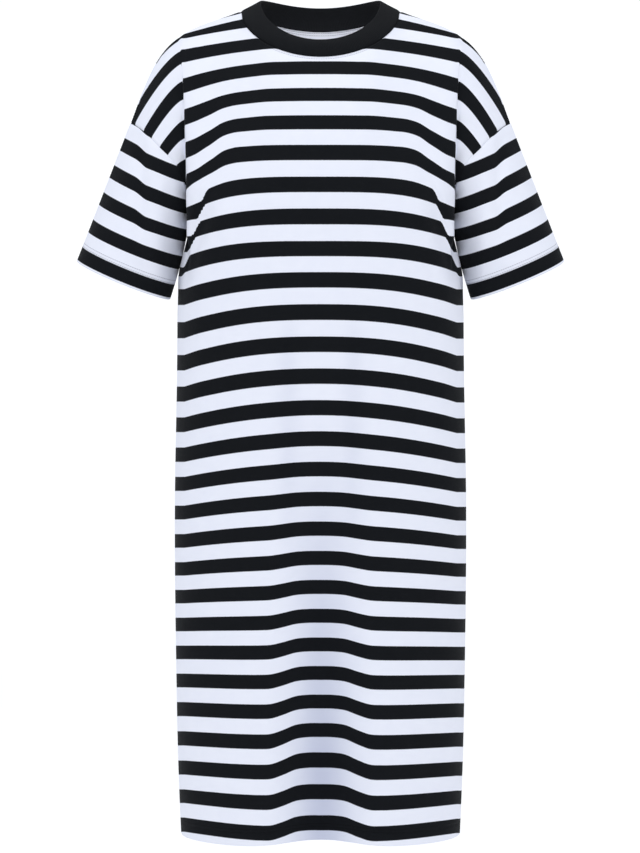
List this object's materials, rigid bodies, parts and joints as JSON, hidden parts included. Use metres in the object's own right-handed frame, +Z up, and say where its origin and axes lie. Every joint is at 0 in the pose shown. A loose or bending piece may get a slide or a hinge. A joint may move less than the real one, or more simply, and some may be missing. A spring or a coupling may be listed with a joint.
{
  "type": "midi dress",
  "caption": "Straight midi dress of striped jersey with dropped shoulders, short sleeves and a ribbed round neck, filled out and open at neck, cuffs and hem.",
  "frame": {"origin": "middle of the neck opening, level with the highest points of the shoulders, where the wearer holds the dress up", "axes": "+Z up, -Y the way the front faces, +X to the right as seen from the front"},
  "size_m": [0.657, 0.2379, 1.1261],
  "materials": {
    "front": "jersey knit, black and white stripes",
    "back": "jersey knit, black and white stripes",
    "sleeve_left": "jersey knit, black and white stripes",
    "sleeve_right": "jersey knit, black and white stripes",
    "neck_rib": "black rib knit"
  },
  "bodies": {
    "root": {"front": "front", "back": "back", "sleeve_left": "sleeve_left", "sleeve_right": "sleeve_right", "neck_rib": "neck_rib"}
  },
  "joints": []
}
